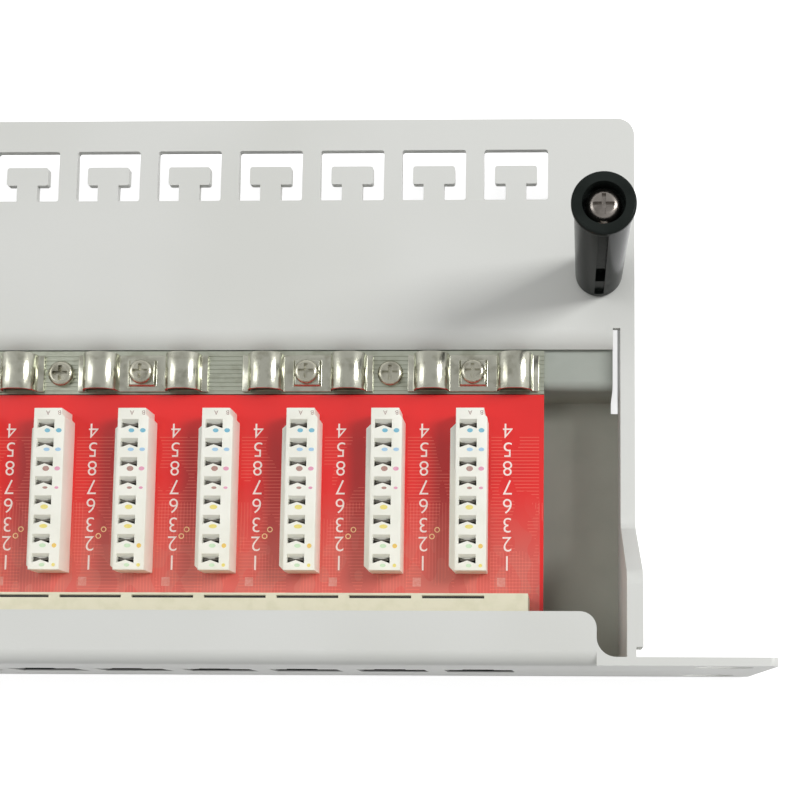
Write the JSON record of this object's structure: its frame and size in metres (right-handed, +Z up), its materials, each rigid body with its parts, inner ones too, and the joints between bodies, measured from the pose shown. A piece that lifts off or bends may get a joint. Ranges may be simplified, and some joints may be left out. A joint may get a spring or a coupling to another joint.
{
  "type": "patch panel",
  "caption": "Shielded rack patch panel with a row of modular ports, punch-down blocks, shield clamps and a rear cable plate.",
  "frame": {"origin": "centre of the panel's outline at the underside, halfway between the front face and the rear edge", "axes": "+X along the panel towards the right-hand ear seen from the front, +Y from the front face to the rear cable plate, +Z up"},
  "size_m": [0.4826, 0.1094, 0.055],
  "materials": {
    "painted_sheet": "fine powder coat, satin",
    "tray_sheet": "matte grey coat",
    "board_red": "red solder mask with fine tracks",
    "shield_cream": "matte tin plate with a warm tint",
    "insert_black": "moulded, matte",
    "spacer_plastic": "moulded nylon",
    "contact_gold": "gold plate",
    "block_white": "moulded, satin",
    "blade_tin": "tin plate",
    "rail_tin": "bright tin plate",
    "clamp_nickel": "bright nickel plate",
    "screw_nickel": "bright nickel plate",
    "post_black": "moulded, satin",
    "screw_steel": "dark steel"
  },
  "bodies": {
    "root": {"chassis": "painted_sheet", "base_tray": "tray_sheet", "circuit_board_1": "board_red", "jack_shell_1": "shield_cream", "jack_insert_1": "insert_black", "circuit_board_2": "board_red", "jack_shell_2": "shield_cream", "jack_insert_2": "insert_black", "circuit_board_3": "board_red", "jack_shell_3": "shield_cream", "jack_insert_3": "insert_black", "board_spacers": "spacer_plastic", "jack_contacts": "contact_gold", "idc_block_01": "block_white", "idc_block_02": "block_white", "idc_block_03": "block_white", "idc_block_04": "block_white", "idc_block_05": "block_white", "idc_block_06": "block_white", "idc_block_07": "block_white", "idc_block_08": "block_white", "idc_block_09": "block_white", "idc_block_10": "block_white", "idc_block_11": "block_white", "idc_block_12": "block_white", "idc_block_13": "block_white", "idc_block_14": "block_white", "idc_block_15": "block_white", "idc_block_16": "block_white", "idc_block_17": "block_white", "idc_block_18": "block_white", "idc_block_19": "block_white", "idc_block_20": "block_white", "idc_block_21": "block_white", "idc_block_22": "block_white", "idc_block_23": "block_white", "idc_block_24": "block_white", "idc_contacts": "blade_tin", "earthing_rail": "rail_tin", "shield_clamp_01": "clamp_nickel", "shield_clamp_02": "clamp_nickel", "shield_clamp_03": "clamp_nickel", "shield_clamp_04": "clamp_nickel", "shield_clamp_05": "clamp_nickel", "shield_clamp_06": "clamp_nickel", "shield_clamp_07": "clamp_nickel", "shield_clamp_08": "clamp_nickel", "shield_clamp_09": "clamp_nickel", "shield_clamp_10": "clamp_nickel", "shield_clamp_11": "clamp_nickel", "shield_clamp_12": "clamp_nickel", "clamp_screws": "screw_nickel", "rail_screws": "screw_nickel", "cover_post_left": "post_black", "cover_post_right": "post_black", "post_screws": "screw_steel"}
  },
  "joints": []
}
